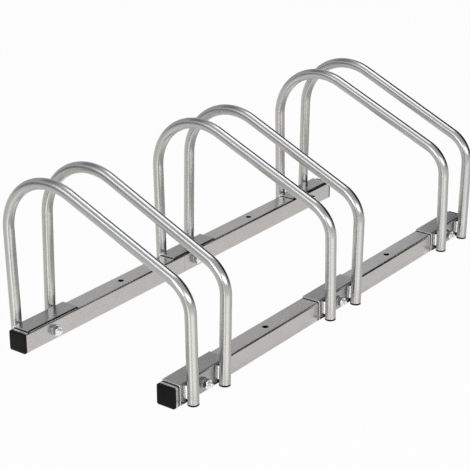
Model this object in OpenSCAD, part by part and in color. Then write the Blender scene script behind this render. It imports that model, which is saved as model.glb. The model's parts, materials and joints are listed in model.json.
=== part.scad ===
// Floor stand that parks three bicycles side by side.
// Two square-tube rails lie on the floor. Three bays are bolted across them.
// Each bay is a pair of bent-tube hoops, welded to an angle bracket on either rail.
// The X axis runs along the rails, +Y points to the tall side of the hoops, and +Z is up.
// The origin lies on the floor, in the middle of the stand.

/* [Layout] */
// Distance between the middles of neighbouring bays
bay_pitch = 320; // [260:1:420]
// Distance between the centre lines of the two rails
rail_gauge = 264; // [230:1:380]
// Length of each rail that shows past the outer brackets
rail_end_margin = 6; // [2:1:20]

/* [Rails] */
// Outer width and height of the square rail tube
rail_size = 30; // [26:1:36]
// Wall of the rail tube
rail_wall = 1.5; // [1:0.1:2.5]
// Outer corner radius of the rail tube
rail_corner = 3; // [2.6:0.1:4]
// Diameter of the floor fixing holes
floor_hole_d = 9; // [6:0.5:12]
// Distance from the middle bolt back to the seam between the rail halves
seam_offset = 27; // [16:1:40]
// Open width of that seam
seam_gap = 0.4; // [0.2:0.1:1]
// Length of the reduced tube end past the middle bolt
spigot_reach = 25; // [16:1:40]
// Length of the shoulder where the tube end steps down
spigot_shoulder = 3; // [2:0.5:6]
// Clearance on each side between the reduced end and the tube round it
spigot_clearance = 0.25; // [0.15:0.05:0.5]

/* [Brackets] */
// Length of each angle bracket along its rail
bracket_length = 100; // [92:1:130]
// Sheet thickness of the brackets
bracket_sheet = 2; // [1.5:0.1:3]
// Outer radius of the bracket's bend
bracket_bend = 3.2; // [3.1:0.1:5]
// Gap between the top of the rail and the bracket's plate
bracket_lift = 0.6; // [0.3:0.1:1.2]
// Height of the bracket's lower edge above the floor
bracket_floor_gap = 2.6; // [1:0.1:5]
// Distance from the rail's inner face to the edge of the bracket's plate
bracket_edge_inset = 2; // [0:0.1:5]

/* [Hoops] */
// Outer diameter of the hoop tube
tube_d = 16; // [13:1:19]
// Wall of the hoop tube
tube_wall = 1.5; // [1:0.1:2]
// Height of the hoops' highest point above the floor
hoop_height = 262; // [230:1:330]
// Distance between a bay's two hoops at the floor, on their centre lines
hoop_spacing = 67; // [54:1:72]
// Outward lean of each hoop in degrees
hoop_lean = 1.5; // [0:0.1:2.5]
// Centre-line radius of the tall bend
tall_bend_r = 84; // [60:1:100]
// Centre-line radius of the low bend
low_bend_r = 48; // [36:1:60]
// Fall of the straight run between the bends in degrees
run_fall = 24; // [15:1:30]
// Radius that the tube loses where it is bent
bend_draw = 0.05; // [0.03:0.01:0.3]
// Clearance between a leg and the bracket that it is welded to
leg_clearance = 0.05; // [0.02:0.01:0.2]

/* [Welds] */
// Radius of a weld bead
bead_r = 2.2; // [1.6:0.1:3]
// Height of the bead's centre line off the bracket
bead_rise = 1.2; // [0.8:0.1:1.6]
// Distance of the bead's centre line from the middle of the leg
bead_offset = 5.2; // [4:0.1:6]
// Length of bracket left bare below a bead
bead_lower_margin = 7; // [3:0.5:10]
// Length of flat bracket left bare above a bead
bead_upper_margin = 0.6; // [0.2:0.1:3]

/* [Fasteners] */
// Thread diameter of the bolts
bolt_d = 8; // [6:0.5:9]
// Clearance on the radius between a bolt and the holes that it passes
bolt_clearance = 0.5; // [0.3:0.1:1]
// Clearance on the radius between a bolt and its nut
thread_clearance = 0.05; // [0.02:0.01:0.2]
// Clearance on the radius between a bolt and its washer
washer_clearance = 0.2; // [0.1:0.05:0.4]
// Width across the flats of the bolt heads and nuts
hex_flats = 13; // [12:0.5:15]
// Height of the bolt heads
head_height = 5.3; // [4:0.1:7]
// Height of the nuts
nut_height = 6.5; // [5:0.1:8]
// Chamfer on the corners of the bolt heads and nuts
hex_chamfer = 0.8; // [0.4:0.1:1]
// Diameter of the washers
washer_d = 16; // [15:0.5:20]
// Thickness of the washers
washer_sheet = 1.6; // [1:0.1:2.5]
// Length of bolt that stands out of its nut
bolt_tail = 4.9; // [2:0.1:8]
// Chamfer at the bolt's tip
tip_chamfer = 1; // [0.5:0.1:1.5]

/* [End caps] */
// Thickness of the cap outside the rail
cap_flange = 4; // [2.5:0.1:6]
// Chamfer round the cap's outer face
cap_chamfer = 1; // [0.4:0.1:1.5]
// Length of the cap's plug inside the rail
cap_plug_length = 15; // [10:1:25]
// Wall of the hollow plug
cap_wall = 2; // [1.5:0.1:3]
// Clearance on each side between the plug's ribs and the rail
cap_clearance = 0.15; // [0.1:0.05:0.3]
// Height of the ribs round the plug
cap_rib_height = 0.8; // [0.4:0.1:1.2]
// Width of each rib along the plug
cap_rib_width = 1.6; // [1:0.1:2]

/* [Foot plugs] */
// Thickness of a foot plug below the tube
foot_flange = 2.5; // [1.5:0.1:4]
// Chamfer round the foot plug's lower face
foot_chamfer = 0.7; // [0.3:0.1:1]
// Length of the foot plug inside the tube
foot_plug_length = 12; // [8:1:20]
// Clearance on the radius between the foot plug's ribs and the tube
foot_clearance = 0.15; // [0.1:0.05:0.3]
// Height of the ribs round the foot plug
foot_rib_height = 0.6; // [0.3:0.1:0.9]
// Width of each rib along the foot plug
foot_rib_width = 1.4; // [0.8:0.1:1.8]
// Gap between the foot plugs and the floor
foot_gap = 0.3; // [0.1:0.1:1]

/* [Hidden] */
$fn = 64;

// Sides and bays, as signs along their axes
front = -1;
back = 1;
left = -1;
middle = 0;
right = 1;

// Overrun of every cut past the face that it opens
overrun = 1;

// Rails
rail_inner = rail_size - 2 * rail_wall;
rail_end = bay_pitch + bracket_length / 2 + rail_end_margin;
seam_x = -seam_offset;
spigot_size = rail_inner - 2 * spigot_clearance;
spigot_inner = spigot_size - 2 * rail_wall;
inner_corner = rail_corner - rail_wall;
spigot_corner = inner_corner;
spigot_inner_corner = spigot_corner / 2;
floor_hole_x = bay_pitch / 2;
bolt_z = rail_size / 2;
bolt_hole_r = bolt_d / 2 + bolt_clearance;
rail_outer_y = rail_gauge / 2 + rail_size / 2;
rail_inner_y = rail_gauge / 2 - rail_size / 2;

// Brackets
bracket_top = rail_size + bracket_lift + bracket_sheet;
bracket_height = bracket_top - bracket_floor_gap;
bracket_plate = rail_size + bracket_sheet - bracket_edge_inset;
bracket_face_y = rail_outer_y + bracket_sheet;

// Hoops
tube_r = tube_d / 2;
leg_y = bracket_face_y + leg_clearance + tube_r;
foot_z = foot_gap + tube_r * tan(hoop_lean);
tube_end_z = foot_z + foot_flange;
tall_z = hoop_height - tube_r - tall_bend_r;
run_angle = 90 + run_fall;
run_start_y = leg_y - tall_bend_r + tall_bend_r * cos(run_angle);
run_start_z = tall_z + tall_bend_r * sin(run_angle);
run_end_y = -leg_y + low_bend_r + low_bend_r * cos(run_angle);
run_length = (run_start_y - run_end_y) / cos(run_fall);
run_end_z = run_start_z - run_length * sin(run_fall);
low_z = run_end_z - low_bend_r * sin(run_angle);

// Length of straight tube that runs on into each bend
bend_lap = tube_wall / 3;

// Welds
bead_bottom = bracket_floor_gap + bead_lower_margin;
bead_top = bracket_top - bracket_bend - bead_upper_margin;
bead_reach = bead_offset + bead_r;

// Fasteners
grip = rail_size + bracket_sheet;
bolt_length = grip + washer_sheet + nut_height + bolt_tail;
hex_r = hex_flats / 2 / cos(30);

// End caps
cap_rib_size = rail_inner - 2 * cap_clearance;
cap_core_size = cap_rib_size - 2 * cap_rib_height;
cap_rib_count = 3;
cap_rib_step = cap_plug_length / (cap_rib_count + 1);

// Foot plugs
foot_rib_r = tube_r - tube_wall - foot_clearance;
foot_core_r = foot_rib_r - foot_rib_height;
foot_rib_count = 3;
foot_rib_step = foot_plug_length / (foot_rib_count + 1);

// Square with round corners, centred
module rounded_square(size, corner) {
    square([size, size - 2 * corner], center = true);
    square([size - 2 * corner, size], center = true);
    for (x = [-1, 1], y = [-1, 1])
        translate([x * (size / 2 - corner), y * (size / 2 - corner)])
            circle(corner);
}

// Bar of a rounded square section along X, from one place to another
module square_bar(size, corner, from_x, to_x) {
    translate([from_x, 0, 0])
        rotate([90, 0, 90])
            linear_extrude(to_x - from_x)
                rounded_square(size, corner);
}

// Cylinder through the rail along Y, for a bolt
module bolt_hole(x) {
    translate([x, 0, 0])
        rotate([90, 0, 0])
            cylinder(r = bolt_hole_r, h = rail_size + 2 * overrun, center = true);
}

// Cylinder through the rail along Z, for a floor screw
module floor_hole(x) {
    translate([x, 0, 0])
        cylinder(d = floor_hole_d, h = rail_size + 2 * overrun, center = true);
}

// Left half of a rail, with its reduced end
module rail_left(row) {
    color("darkgray")
        translate([0, row * rail_gauge / 2, rail_size / 2])
            difference() {
                union() {
                    square_bar(rail_size, rail_corner, -rail_end, seam_x);
                    square_bar(spigot_size, spigot_corner, seam_x - spigot_shoulder, spigot_reach);
                }
                square_bar(rail_inner, inner_corner, -rail_end - overrun, seam_x - spigot_shoulder);
                square_bar(
                    spigot_inner, spigot_inner_corner,
                    seam_x - spigot_shoulder - overrun, spigot_reach + overrun
                );
                bolt_hole(-bay_pitch);
                floor_hole(-floor_hole_x);
                bolt_hole(0);
            }
}

// Right half of a rail, a plain tube that slips over the reduced end
module rail_right(row) {
    color("darkgray")
        translate([0, row * rail_gauge / 2, rail_size / 2])
            difference() {
                square_bar(rail_size, rail_corner, seam_x + seam_gap, rail_end);
                square_bar(rail_inner, inner_corner, seam_x + seam_gap - overrun, rail_end + overrun);
                bolt_hole(0);
                floor_hole(floor_hole_x);
                bolt_hole(bay_pitch);
            }
}

// Outline of the cap's flange seen from the side, with its outer corners cut
module cap_side() {
    half = rail_size / 2;
    polygon([
        [0, -half],
        [cap_flange - cap_chamfer, -half],
        [cap_flange, -half + cap_chamfer],
        [cap_flange, half - cap_chamfer],
        [cap_flange - cap_chamfer, half],
        [0, half]
    ]);
}

// End cap of a rail, with a ribbed hollow plug
module end_cap(row, end) {
    color("#1c1c1c")
        translate([end * rail_end, row * rail_gauge / 2, rail_size / 2])
            mirror([end == left ? 1 : 0, 0, 0]) {
                intersection() {
                    square_bar(rail_size, rail_corner, 0, cap_flange);
                    linear_extrude(rail_size, center = true)
                        cap_side();
                    rotate([90, 0, 0])
                        linear_extrude(rail_size, center = true)
                            cap_side();
                }
                difference() {
                    union() {
                        square_bar(cap_core_size, inner_corner, -cap_plug_length, 0);
                        for (i = [1 : cap_rib_count])
                            square_bar(
                                cap_rib_size, inner_corner,
                                -i * cap_rib_step - cap_rib_width / 2,
                                -i * cap_rib_step + cap_rib_width / 2
                            );
                    }
                    square_bar(
                        cap_core_size - 2 * cap_wall, inner_corner / 2,
                        -cap_plug_length - overrun, -cap_wall
                    );
                }
            }
}

// Section of the angle bracket, with its bend at the upper left
module angle_section() {
    translate([0, -bracket_height])
        square([bracket_sheet, bracket_height - bracket_bend]);
    translate([bracket_bend, -bracket_sheet])
        square([bracket_plate - bracket_bend, bracket_sheet]);
    translate([bracket_bend, -bracket_bend])
        intersection() {
            difference() {
                circle(bracket_bend);
                circle(bracket_bend - bracket_sheet);
            }
            translate([-bracket_bend, 0])
                square(bracket_bend);
        }
}

// Angle bracket over the outer edge of a rail
module bracket(bay, row) {
    color("gray")
        difference() {
            translate([bay * bay_pitch - bracket_length / 2, row * bracket_face_y, bracket_top])
                mirror([0, row == back ? 1 : 0, 0])
                    rotate([90, 0, 90])
                        linear_extrude(bracket_length)
                            angle_section();
            translate([bay * bay_pitch, row * bracket_face_y, bolt_z])
                rotate([90, 0, 0])
                    cylinder(r = bolt_hole_r, h = 4 * bracket_sheet, center = true);
        }
}

// Places its children at a hoop's foot line, leaning outwards with the hoop
module on_hoop(bay, side) {
    translate([bay * bay_pitch + side * hoop_spacing / 2, 0, 0])
        rotate([0, side * hoop_lean, 0])
            children();
}

// Round bar along the hoop's bent line, drawn in at the bends, its ends lengthened by the last value
module hoop_bar(r, extra) {
    bend_r = r - bend_draw;
    translate([0, leg_y, tube_end_z - extra])
        cylinder(r = r, h = tall_z - tube_end_z + extra + bend_lap);
    translate([0, leg_y - tall_bend_r, tall_z])
        rotate([90, 0, 90])
            rotate_extrude(angle = run_angle)
                translate([tall_bend_r, 0])
                    circle(bend_r);
    translate([0, run_start_y, run_start_z])
        rotate([run_angle, 0, 0])
            translate([0, 0, -bend_lap])
                cylinder(r = r, h = run_length + 2 * bend_lap);
    translate([0, -leg_y + low_bend_r, low_z])
        rotate([90, 0, 90])
            rotate([0, 0, run_angle])
                rotate_extrude(angle = 180 - run_angle)
                    translate([low_bend_r, 0])
                        circle(bend_r);
    translate([0, -leg_y, tube_end_z - extra])
        cylinder(r = r, h = low_z - tube_end_z + extra + bend_lap);
}

// Hoop of bent round tube
module hoop(bay, side) {
    color("silver")
        on_hoop(bay, side)
            difference() {
                hoop_bar(tube_r, 0);
                hoop_bar(tube_r - tube_wall, overrun);
            }
}

// Foot plug in the lower end of a leg, with a ribbed shank
module foot(bay, side, row) {
    color("#1c1c1c")
        on_hoop(bay, side)
            translate([0, row * leg_y, foot_z]) {
                cylinder(r1 = tube_r - foot_chamfer, r2 = tube_r, h = foot_chamfer);
                translate([0, 0, foot_chamfer])
                    cylinder(r = tube_r, h = foot_flange - foot_chamfer);
                translate([0, 0, foot_flange])
                    cylinder(r = foot_core_r, h = foot_plug_length);
                for (i = [1 : foot_rib_count])
                    translate([0, 0, foot_flange + i * foot_rib_step - foot_rib_width / 2])
                        cylinder(r = foot_rib_r, h = foot_rib_width);
            }
}

// Section of a weld bead in the groove between a leg and its bracket
module bead_section() {
    face = tube_r + leg_clearance;
    difference() {
        translate([bead_offset, face - bead_rise])
            circle(bead_r);
        circle(face);
        translate([0, face])
            square(bead_reach + overrun);
    }
}

// Weld beads on both sides of a bracket's two legs
module welds(bay, row) {
    color("gainsboro")
        for (side = [left, right], flank = [0, 1])
            on_hoop(bay, side)
                translate([0, row * leg_y, bead_bottom])
                    mirror([0, row == back ? 1 : 0, 0])
                        mirror([flank, 0, 0])
                            linear_extrude(bead_top - bead_bottom)
                                bead_section();
}

// Places its children on each bolt's axis, where they point from the head to the nut
module on_bolts() {
    for (bay = [left, middle, right])
        for (head_y = [-rail_inner_y, bracket_face_y])
            translate([bay * bay_pitch, head_y, bolt_z])
                rotate([90, 0, 0])
                    children();
}

// Hexagonal block from the origin up, with its upper corners chamfered
module hex_block(height) {
    intersection() {
        cylinder(r = hex_r, h = height, $fn = 6);
        union() {
            cylinder(r = hex_r, h = height - hex_chamfer);
            translate([0, 0, height - hex_chamfer])
                cylinder(r1 = hex_r, r2 = hex_r - hex_chamfer, h = hex_chamfer);
        }
    }
}

// Bolts, heads on the side of the tall legs
module hex_bolts() {
    color("lightgray")
        on_bolts() {
            mirror([0, 0, 1])
                hex_block(head_height);
            cylinder(d = bolt_d, h = bolt_length - tip_chamfer);
            translate([0, 0, bolt_length - tip_chamfer])
                cylinder(d1 = bolt_d, d2 = bolt_d - 2 * tip_chamfer, h = tip_chamfer);
        }
}

// Washers under the nuts
module washers() {
    color("silver")
        on_bolts()
            translate([0, 0, grip])
                difference() {
                    cylinder(d = washer_d, h = washer_sheet);
                    translate([0, 0, -overrun])
                        cylinder(r = bolt_d / 2 + washer_clearance, h = washer_sheet + 2 * overrun);
                }
}

// Nuts, on the side of the low legs
module hex_nuts() {
    color("lightgray")
        on_bolts()
            translate([0, 0, grip + washer_sheet])
                difference() {
                    hex_block(nut_height);
                    translate([0, 0, -overrun])
                        cylinder(r = bolt_d / 2 + thread_clearance, h = nut_height + 2 * overrun);
                }
}

rail_left(front);  // front_rail_left
rail_right(front);  // front_rail_right
rail_left(back);  // back_rail_left
rail_right(back);  // back_rail_right
end_cap(front, left);  // front_left_end_cap
end_cap(front, right);  // front_right_end_cap
end_cap(back, left);  // back_left_end_cap
end_cap(back, right);  // back_right_end_cap
bracket(left, front);  // left_bay_front_bracket
bracket(left, back);  // left_bay_back_bracket
bracket(middle, front);  // middle_bay_front_bracket
bracket(middle, back);  // middle_bay_back_bracket
bracket(right, front);  // right_bay_front_bracket
bracket(right, back);  // right_bay_back_bracket
hoop(left, left);  // left_bay_left_hoop
hoop(left, right);  // left_bay_right_hoop
hoop(middle, left);  // middle_bay_left_hoop
hoop(middle, right);  // middle_bay_right_hoop
hoop(right, left);  // right_bay_left_hoop
hoop(right, right);  // right_bay_right_hoop
welds(left, front);  // left_bay_front_welds
welds(left, back);  // left_bay_back_welds
welds(middle, front);  // middle_bay_front_welds
welds(middle, back);  // middle_bay_back_welds
welds(right, front);  // right_bay_front_welds
welds(right, back);  // right_bay_back_welds
foot(left, left, front);  // left_bay_left_front_foot
foot(left, left, back);  // left_bay_left_back_foot
foot(left, right, front);  // left_bay_right_front_foot
foot(left, right, back);  // left_bay_right_back_foot
foot(middle, left, front);  // middle_bay_left_front_foot
foot(middle, left, back);  // middle_bay_left_back_foot
foot(middle, right, front);  // middle_bay_right_front_foot
foot(middle, right, back);  // middle_bay_right_back_foot
foot(right, left, front);  // right_bay_left_front_foot
foot(right, left, back);  // right_bay_left_back_foot
foot(right, right, front);  // right_bay_right_front_foot
foot(right, right, back);  // right_bay_right_back_foot
hex_bolts();
washers();
hex_nuts();
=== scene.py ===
"""Looks of a floor stand for three bicycles.

Two zinc-plated square rails carry three bays of bent-tube hoops, welded to angle brackets and bolted on.
Black plastic caps close the rails, and black plugs close the legs of the hoops.
"""
import json
import logging
import math
from collections.abc import Callable, Iterator, Sequence
from contextlib import contextmanager
from dataclasses import dataclass, field, replace
from enum import Enum

import bmesh
import bpy
from mathutils import Euler, Matrix, Vector

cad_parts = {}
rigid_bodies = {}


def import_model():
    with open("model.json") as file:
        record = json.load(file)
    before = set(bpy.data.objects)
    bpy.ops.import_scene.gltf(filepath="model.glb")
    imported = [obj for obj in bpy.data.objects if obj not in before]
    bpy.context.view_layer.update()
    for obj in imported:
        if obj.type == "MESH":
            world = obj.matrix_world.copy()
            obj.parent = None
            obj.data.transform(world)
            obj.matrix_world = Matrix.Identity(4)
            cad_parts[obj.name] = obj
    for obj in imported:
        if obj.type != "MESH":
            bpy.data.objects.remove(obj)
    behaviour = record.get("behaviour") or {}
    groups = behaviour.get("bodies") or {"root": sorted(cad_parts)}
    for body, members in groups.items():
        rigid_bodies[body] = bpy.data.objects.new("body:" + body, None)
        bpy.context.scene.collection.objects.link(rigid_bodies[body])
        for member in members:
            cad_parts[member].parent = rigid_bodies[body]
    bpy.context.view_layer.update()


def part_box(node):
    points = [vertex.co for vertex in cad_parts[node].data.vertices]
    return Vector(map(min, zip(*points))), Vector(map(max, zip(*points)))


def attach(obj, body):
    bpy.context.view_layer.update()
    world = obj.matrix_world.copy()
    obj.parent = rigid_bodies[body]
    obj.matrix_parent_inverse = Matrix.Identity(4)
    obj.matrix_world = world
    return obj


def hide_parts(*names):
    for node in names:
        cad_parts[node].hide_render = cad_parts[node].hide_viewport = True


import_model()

LOG = logging.getLogger("stand")

Colour = tuple[float, float, float]
Element = bmesh.types.BMVert | bmesh.types.BMEdge | bmesh.types.BMFace
Point = Vector | Sequence[float]
Outline = list[tuple[float, float]]

# One millimetre in metres, and how near two places are to count as one
MM = 0.001
ABOUT = MM / 100
TOUCHING = MM / 500

# How square a face stands to an axis, as the share of its normal that points along the axis
FACING = 0.9
SQUARE_ON = 0.999
SIDE_ON = 0.2

# Sides of a round hole, and corners of a plain face
HOLE_SIDES = 40
QUAD = 4

# A colour and a stretch that leave things as they are
WHITE: Colour = (1.0, 1.0, 1.0)
UNSTRETCHED = (1.0, 1.0, 1.0)

# The record's only body, and the photograph's width
BODY = "root"
PHOTO_PIXELS = 470

# Names of the numbers that pieces store for their materials: where along a tube a point lies, where shade
# is painted dark, and where a highlight is painted light
ALONG_TUBE = "along_tube"
PAINTED_SHADE_MARK = "sheared_edge"
PAINTED_HIGHLIGHT_MARK = "cut_end"


class Place(Enum):
    """A place in the stand, whose word is part of the construction nodes' names."""

    @property
    def word(self) -> str:
        """Give the place's word."""
        return self.name.lower()


class Row(Place):
    """The two rails, by the side of the stand where they lie."""

    FRONT = -1
    BACK = 1


class Bay(Place):
    """The three bays, in their order along the rails."""

    LEFT = -1
    MIDDLE = 0
    RIGHT = 1


class Side(Place):
    """The two sides of a bay or of a leg, and the two ends of a rail."""

    LEFT = -1
    RIGHT = 1


class Axis(Enum):
    """An axis of the stand, by its number in a vector."""

    X = 0
    Y = 1
    Z = 2


class Part(Enum):
    """What an edit-mode selection holds."""

    VERTS = "VERT"
    EDGES = "EDGE"
    FACES = "FACE"


class Keep(Enum):
    """Which part of a piece is kept when a tool cuts it."""

    OUTSIDE = "DIFFERENCE"
    INSIDE = "INTERSECT"


@dataclass(frozen=True)
class StandSizes:
    """Sizes of the stand's pieces in metres and radians, as its construction has them."""

    rail_wall: float = 1.5 * MM
    rail_corner: float = 3.0 * MM
    floor_hole_r: float = 4.5 * MM
    bolt_hole_r: float = 4.5 * MM
    spigot_clearance: float = 0.25 * MM
    bracket_sheet: float = 2.0 * MM
    bracket_bend: float = 3.2 * MM
    tube_r: float = 8.0 * MM
    tube_wall: float = 1.5 * MM
    hoop_height: float = 262.0 * MM
    hoop_spacing: float = 67.0 * MM
    hoop_lean: float = math.radians(1.5)
    tall_bend_r: float = 84.0 * MM
    low_bend_r: float = 48.0 * MM
    run_fall: float = math.radians(24.0)
    leg_clearance: float = 0.05 * MM
    bead_r: float = 2.2 * MM
    bead_rise: float = 1.2 * MM
    bead_offset: float = 5.2 * MM
    bolt_r: float = 4.0 * MM
    thread_pitch: float = 1.25 * MM
    thread_depth: float = 0.65 * MM
    hex_flats: float = 13.0 * MM
    head_height: float = 5.3 * MM
    nut_height: float = 6.5 * MM
    washer_r: float = 8.0 * MM
    washer_hole_r: float = 4.2 * MM
    washer_sheet: float = 1.6 * MM
    bolt_tail: float = 4.9 * MM
    cap_flange: float = 4.0 * MM
    cap_wall: float = 2.0 * MM
    foot_flange: float = 2.5 * MM
    foot_gap: float = 0.3 * MM
    foot_plug_length: float = 12.0 * MM


SIZES = StandSizes()
ROD_TURNS = {Axis.Y: Euler((math.pi / 2, 0, 0)), Axis.Z: Euler()}


def read_box(node: str) -> tuple[Vector, Vector]:
    """Give the lowest and highest corner of a construction node."""
    low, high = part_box(node)
    return low.copy(), high.copy()


def middle_of(node: str) -> Vector:
    """Give the middle of a construction node's box."""
    low, high = read_box(node)
    return (low + high) / 2


def bay_x(bay: Bay, row: Row = Row.FRONT) -> float:
    """Give the place of a bay's bracket along its rail."""
    return middle_of(f"{bay.word}_bay_{row.word}_bracket").x


def clear_bench() -> None:
    """Deselect every object."""
    for thing in bpy.context.view_layer.objects:
        thing.select_set(False)


def select_all() -> None:
    """Select all of the mesh, in edit mode."""
    bpy.ops.mesh.select_all(action="SELECT")


def extrude(move: Point = (0.0, 0.0, 0.0)) -> None:
    """Extrude what is selected by a move, in edit mode."""
    bpy.ops.mesh.extrude_region_move(TRANSFORM_OT_translate={"value": move})


def resize(share: Point, centre: Point) -> None:
    """Resize what is selected about a point, in edit mode."""
    bpy.ops.transform.resize(value=share, center_override=centre)


class Workpiece:
    """A mesh on the bench, shaped with Blender's own operators."""

    def __init__(self, name: str) -> None:
        """Take up the mesh that was added last.

        Args:
            name: Name of the finished piece.
        """
        self.thing: bpy.types.Object = bpy.context.active_object
        self.thing.name = name
        self.thing.data.name = name

    @classmethod
    def block(cls, name: str, low: Vector, high: Vector) -> "Workpiece":
        """Start from a block between two corners.

        Args:
            name: Name of the piece.
            low: Its lowest corner.
            high: Its highest corner.

        Returns:
            The new workpiece.
        """
        clear_bench()
        bpy.ops.mesh.primitive_cube_add(size=1, location=(low + high) / 2)
        piece = cls(name)
        piece.thing.scale = high - low
        return piece.settle()

    @classmethod
    def rod(cls, name: str, radius: float, length: float, sides: int) -> "Workpiece":
        """Start from an upright rod that stands on the origin.

        Args:
            name: Name of the piece.
            radius: Its radius.
            length: Its length.
            sides: Number of its sides.

        Returns:
            The new workpiece.
        """
        clear_bench()
        bpy.ops.mesh.primitive_cylinder_add(
            vertices=sides, radius=radius, depth=length, location=(0, 0, length / 2)
        )
        return cls(name).settle()

    @classmethod
    def ring(cls, name: str, radius: float, place: Point, sides: int) -> "Workpiece":
        """Start from a flat ring of edges.

        Args:
            name: Name of the piece.
            radius: Radius of the ring.
            place: Its middle.
            sides: Number of its edges.

        Returns:
            The new workpiece.
        """
        clear_bench()
        bpy.ops.mesh.primitive_circle_add(vertices=sides, radius=radius, location=place)
        return cls(name).settle()

    @classmethod
    def sheet(cls, name: str, length: float, height: float, place: Point) -> "Workpiece":
        """Start from an upright rectangle that faces along Y.

        Args:
            name: Name of the piece.
            length: Its size along X.
            height: Its size along Z.
            place: Its middle.

        Returns:
            The new workpiece.
        """
        clear_bench()
        bpy.ops.mesh.primitive_plane_add(size=1, location=place, rotation=(math.pi / 2, 0, 0))
        piece = cls(name)
        piece.thing.scale = (length, height, 1)
        return piece.settle()

    def take(self) -> None:
        """Select this piece alone and make it active."""
        clear_bench()
        self.thing.select_set(True)
        bpy.context.view_layer.objects.active = self.thing

    def settle(self) -> "Workpiece":
        """Put the piece's place, turn and scale into its mesh.

        Returns:
            The workpiece itself.
        """
        self.take()
        bpy.ops.object.transform_apply(location=True, rotation=True, scale=True)
        return self

    def place(self, matrix: Matrix) -> "Workpiece":
        """Move the piece by a matrix, in its mesh."""
        self.thing.matrix_world = matrix
        return self.settle()

    def copy(self, name: str) -> "Workpiece":
        """Copy the piece with a mesh of its own.

        Args:
            name: Name of the copy.

        Returns:
            The copy.
        """
        self.take()
        bpy.ops.object.duplicate(linked=False)
        return Workpiece(name)

    def discard(self) -> None:
        """Take the piece off the bench."""
        bpy.data.objects.remove(self.thing)

    def join(self, others: list["Workpiece"]) -> "Workpiece":
        """Join other workpieces to this one.

        Args:
            others: The workpieces that go into this one.

        Returns:
            The workpiece itself.
        """
        self.take()
        for other in others:
            other.thing.select_set(True)
        bpy.ops.object.join()
        return self

    @contextmanager
    def editing(self) -> Iterator[None]:
        """Hold the piece in edit mode, with nothing selected at first.

        Yields:
            Nothing, while the piece is in edit mode.
        """
        self.take()
        bpy.ops.object.mode_set(mode="EDIT")
        bpy.ops.mesh.select_all(action="DESELECT")
        yield
        bpy.ops.object.mode_set(mode="OBJECT")

    def pick(self, part: Part, test: Callable[[Element], bool]) -> None:
        """Select the elements that pass a test and nothing else, in edit mode.

        Args:
            part: What is selected.
            test: Says which elements are.
        """
        bpy.ops.mesh.select_mode(type=part.value)
        bpy.ops.mesh.select_all(action="DESELECT")
        mesh = bmesh.from_edit_mesh(self.thing.data)
        items = {Part.VERTS: mesh.verts, Part.EDGES: mesh.edges, Part.FACES: mesh.faces}[part]
        for item in [item for item in items if test(item)]:
            item.select_set(True)
        mesh.select_flush_mode()
        bmesh.update_edit_mesh(self.thing.data)

    def modify(self, kind: str, **settings: object) -> "Workpiece":
        """Add a modifier and apply it.

        Args:
            kind: Type of the modifier.
            **settings: Its settings.

        Returns:
            The workpiece itself.
        """
        self.take()
        modifier = self.thing.modifiers.new(kind.lower(), kind)
        for key, value in settings.items():
            setattr(modifier, key, value)
        bpy.ops.object.modifier_apply(modifier=modifier.name)
        return self

    def cut(self, tool: "Workpiece", keep: Keep = Keep.OUTSIDE) -> "Workpiece":
        """Cut the piece with a tool, which is used up.

        Args:
            tool: The other workpiece.
            keep: Whether the part outside or inside the tool is kept.

        Returns:
            The workpiece itself.
        """
        self.modify("BOOLEAN", operation=keep.value, object=tool.thing, solver="EXACT")
        tool.discard()
        return self

    def thicken(self, wall: float) -> "Workpiece":
        """Give an open shell its wall, on its inner side."""
        return self.modify("SOLIDIFY", thickness=wall, offset=-1.0, use_even_offset=True)

    def face_outwards(self) -> "Workpiece":
        """Merge doubled points and turn all faces outwards.

        Returns:
            The workpiece itself.
        """
        with self.editing():
            select_all()
            bpy.ops.mesh.remove_doubles(threshold=TOUCHING)
            bpy.ops.mesh.normals_make_consistent(inside=False)
        return self

    def soften(self, width: float, segments: int = 2, angle: float = 40) -> "Workpiece":
        """Round the edges of the piece that are sharper than an angle in degrees."""
        sharp = math.radians(angle)
        return self.modify("BEVEL", width=width, segments=segments, limit_method="ANGLE", angle_limit=sharp)

    def smooth(self, angle: float = 35) -> "Workpiece":
        """Shade the piece smooth, with its large faces kept flat.

        Args:
            angle: Least angle of an edge that stays sharp, in degrees.

        Returns:
            The workpiece itself.
        """
        self.take()
        bpy.ops.object.shade_smooth_by_angle(angle=math.radians(angle))
        return self.modify("WEIGHTED_NORMAL", mode="FACE_AREA", weight=50, keep_sharp=True)

    def mark(self, name: str, value: Callable[[Vector], float]) -> "Workpiece":
        """Store a number at each point, for the piece's material.

        Args:
            name: Name of the numbers.
            value: Gives the number at a place.

        Returns:
            The workpiece itself.
        """
        mesh = self.thing.data
        numbers = mesh.attributes.new(name, "FLOAT", "POINT")
        for vertex, number in zip(mesh.vertices, numbers.data):
            number.value = value(vertex.co)
        return self

    def mark_faces(self, name: str, value: Callable[[Vector], float]) -> "Workpiece":
        """Store a number on each face, for the piece's material.

        Args:
            name: Name of the numbers.
            value: Gives the number for a face's normal.

        Returns:
            The workpiece itself.
        """
        mesh = self.thing.data
        numbers = mesh.attributes.new(name, "FLOAT", "FACE")
        for face, number in zip(mesh.polygons, numbers.data):
            number.value = value(face.normal)
        return self

    def finish(self, material: bpy.types.Material, slot: str, nodes: list[str]) -> None:
        """Dress the piece and let it stand for its construction nodes.

        Args:
            material: Its surface.
            slot: The record's material slot, which is not used.
            nodes: The nodes that it stands for.
        """
        self.thing.data.materials.clear()
        self.thing.data.materials.append(material)
        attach(self.thing, BODY)
        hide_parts(*nodes)
        LOG.info("%s: %d faces", self.thing.name, len(self.thing.data.polygons))


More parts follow.
